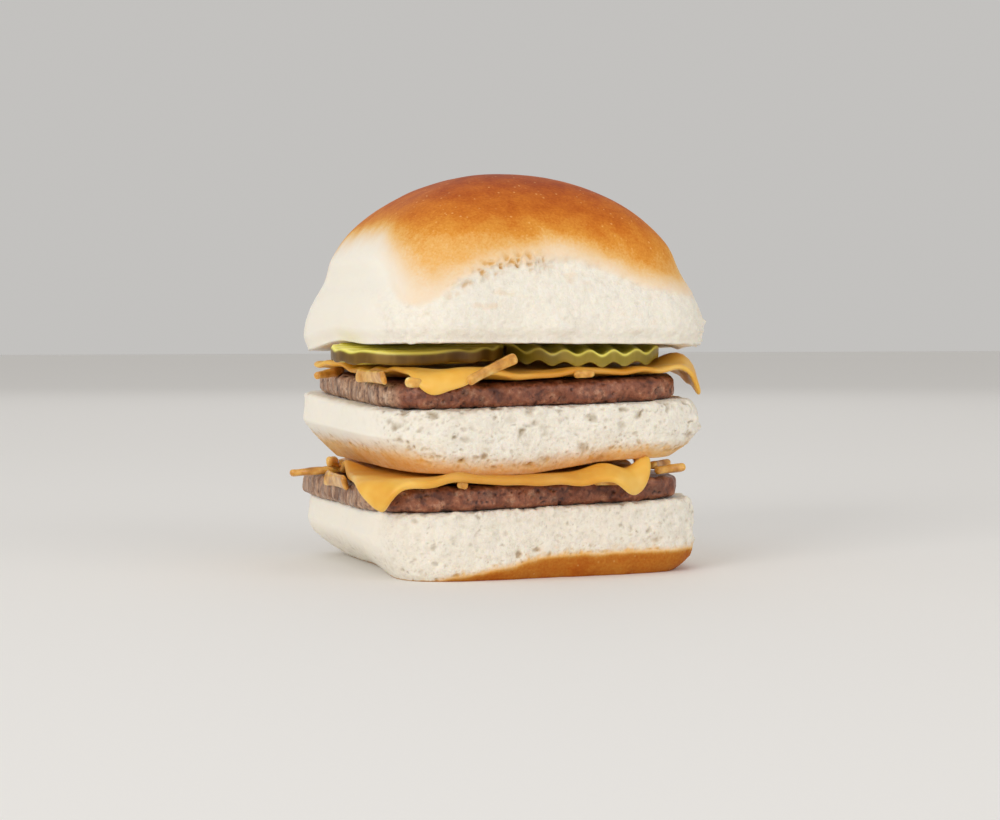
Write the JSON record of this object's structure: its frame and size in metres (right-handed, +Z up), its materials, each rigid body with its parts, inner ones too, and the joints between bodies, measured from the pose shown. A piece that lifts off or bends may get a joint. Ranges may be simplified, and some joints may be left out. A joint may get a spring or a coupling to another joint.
{
  "type": "double cheeseburger",
  "caption": "Small square pull-apart bun in layers with thin beef patties, melted cheese, chopped onion and crinkle-cut pickle under a domed top.",
  "frame": {"origin": "middle of the bottom bun's flat underside", "axes": "+Z up, the bun's sides along X and Y; -Y is the torn side that the cheese's front corners hang over, -X the smooth side"},
  "size_m": [0.0762, 0.0744, 0.08],
  "materials": {
    "bread": "soft matt crumb, browned to a gloss on top",
    "beef": "grey-brown griddled meat, moist",
    "cheese": "soft satin",
    "pickle": "wet gloss",
    "onion": "wet, translucent"
  },
  "bodies": {
    "root": {"bottom_bun": "bread", "middle_bun": "bread", "top_bun": "bread", "lower_patty": "beef", "upper_patty": "beef", "lower_cheese": "cheese", "upper_cheese": "cheese", "left_pickle": "pickle", "right_pickle": "pickle", "lower_onion_1": "onion", "lower_onion_2": "onion", "lower_onion_3": "onion", "lower_onion_4": "onion", "lower_onion_5": "onion", "lower_onion_6": "onion", "lower_onion_7": "onion", "lower_onion_8": "onion", "lower_onion_9": "onion", "lower_onion_10": "onion", "lower_onion_11": "onion", "upper_onion_1": "onion", "upper_onion_2": "onion", "upper_onion_3": "onion", "upper_onion_4": "onion", "upper_onion_5": "onion", "upper_onion_6": "onion", "upper_onion_7": "onion", "upper_onion_8": "onion"}
  },
  "joints": []
}
